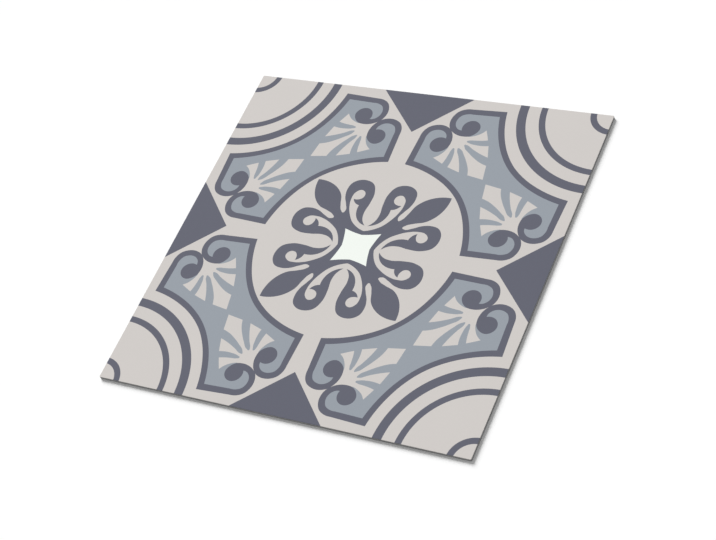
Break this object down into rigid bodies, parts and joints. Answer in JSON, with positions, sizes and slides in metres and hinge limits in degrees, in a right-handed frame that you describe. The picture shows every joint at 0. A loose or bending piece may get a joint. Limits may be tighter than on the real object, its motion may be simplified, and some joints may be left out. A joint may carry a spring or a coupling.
{
  "type": "self-adhesive wall tile",
  "caption": "Thin square self-adhesive wall tile with a flat adhesive back and a printed face carrying a traditional rosette, scroll and ring ornament.",
  "frame": {"origin": "middle of the adhesive back, on the surface that the tile lies on", "axes": "+Z out of the printed face, X and Y along the sides of the tile"},
  "size_m": [0.2, 0.2, 0.0015],
  "materials": {
    "printed_vinyl": "matte printed vinyl"
  },
  "bodies": {
    "root": {"wall_tile": "printed_vinyl"}
  },
  "joints": []
}
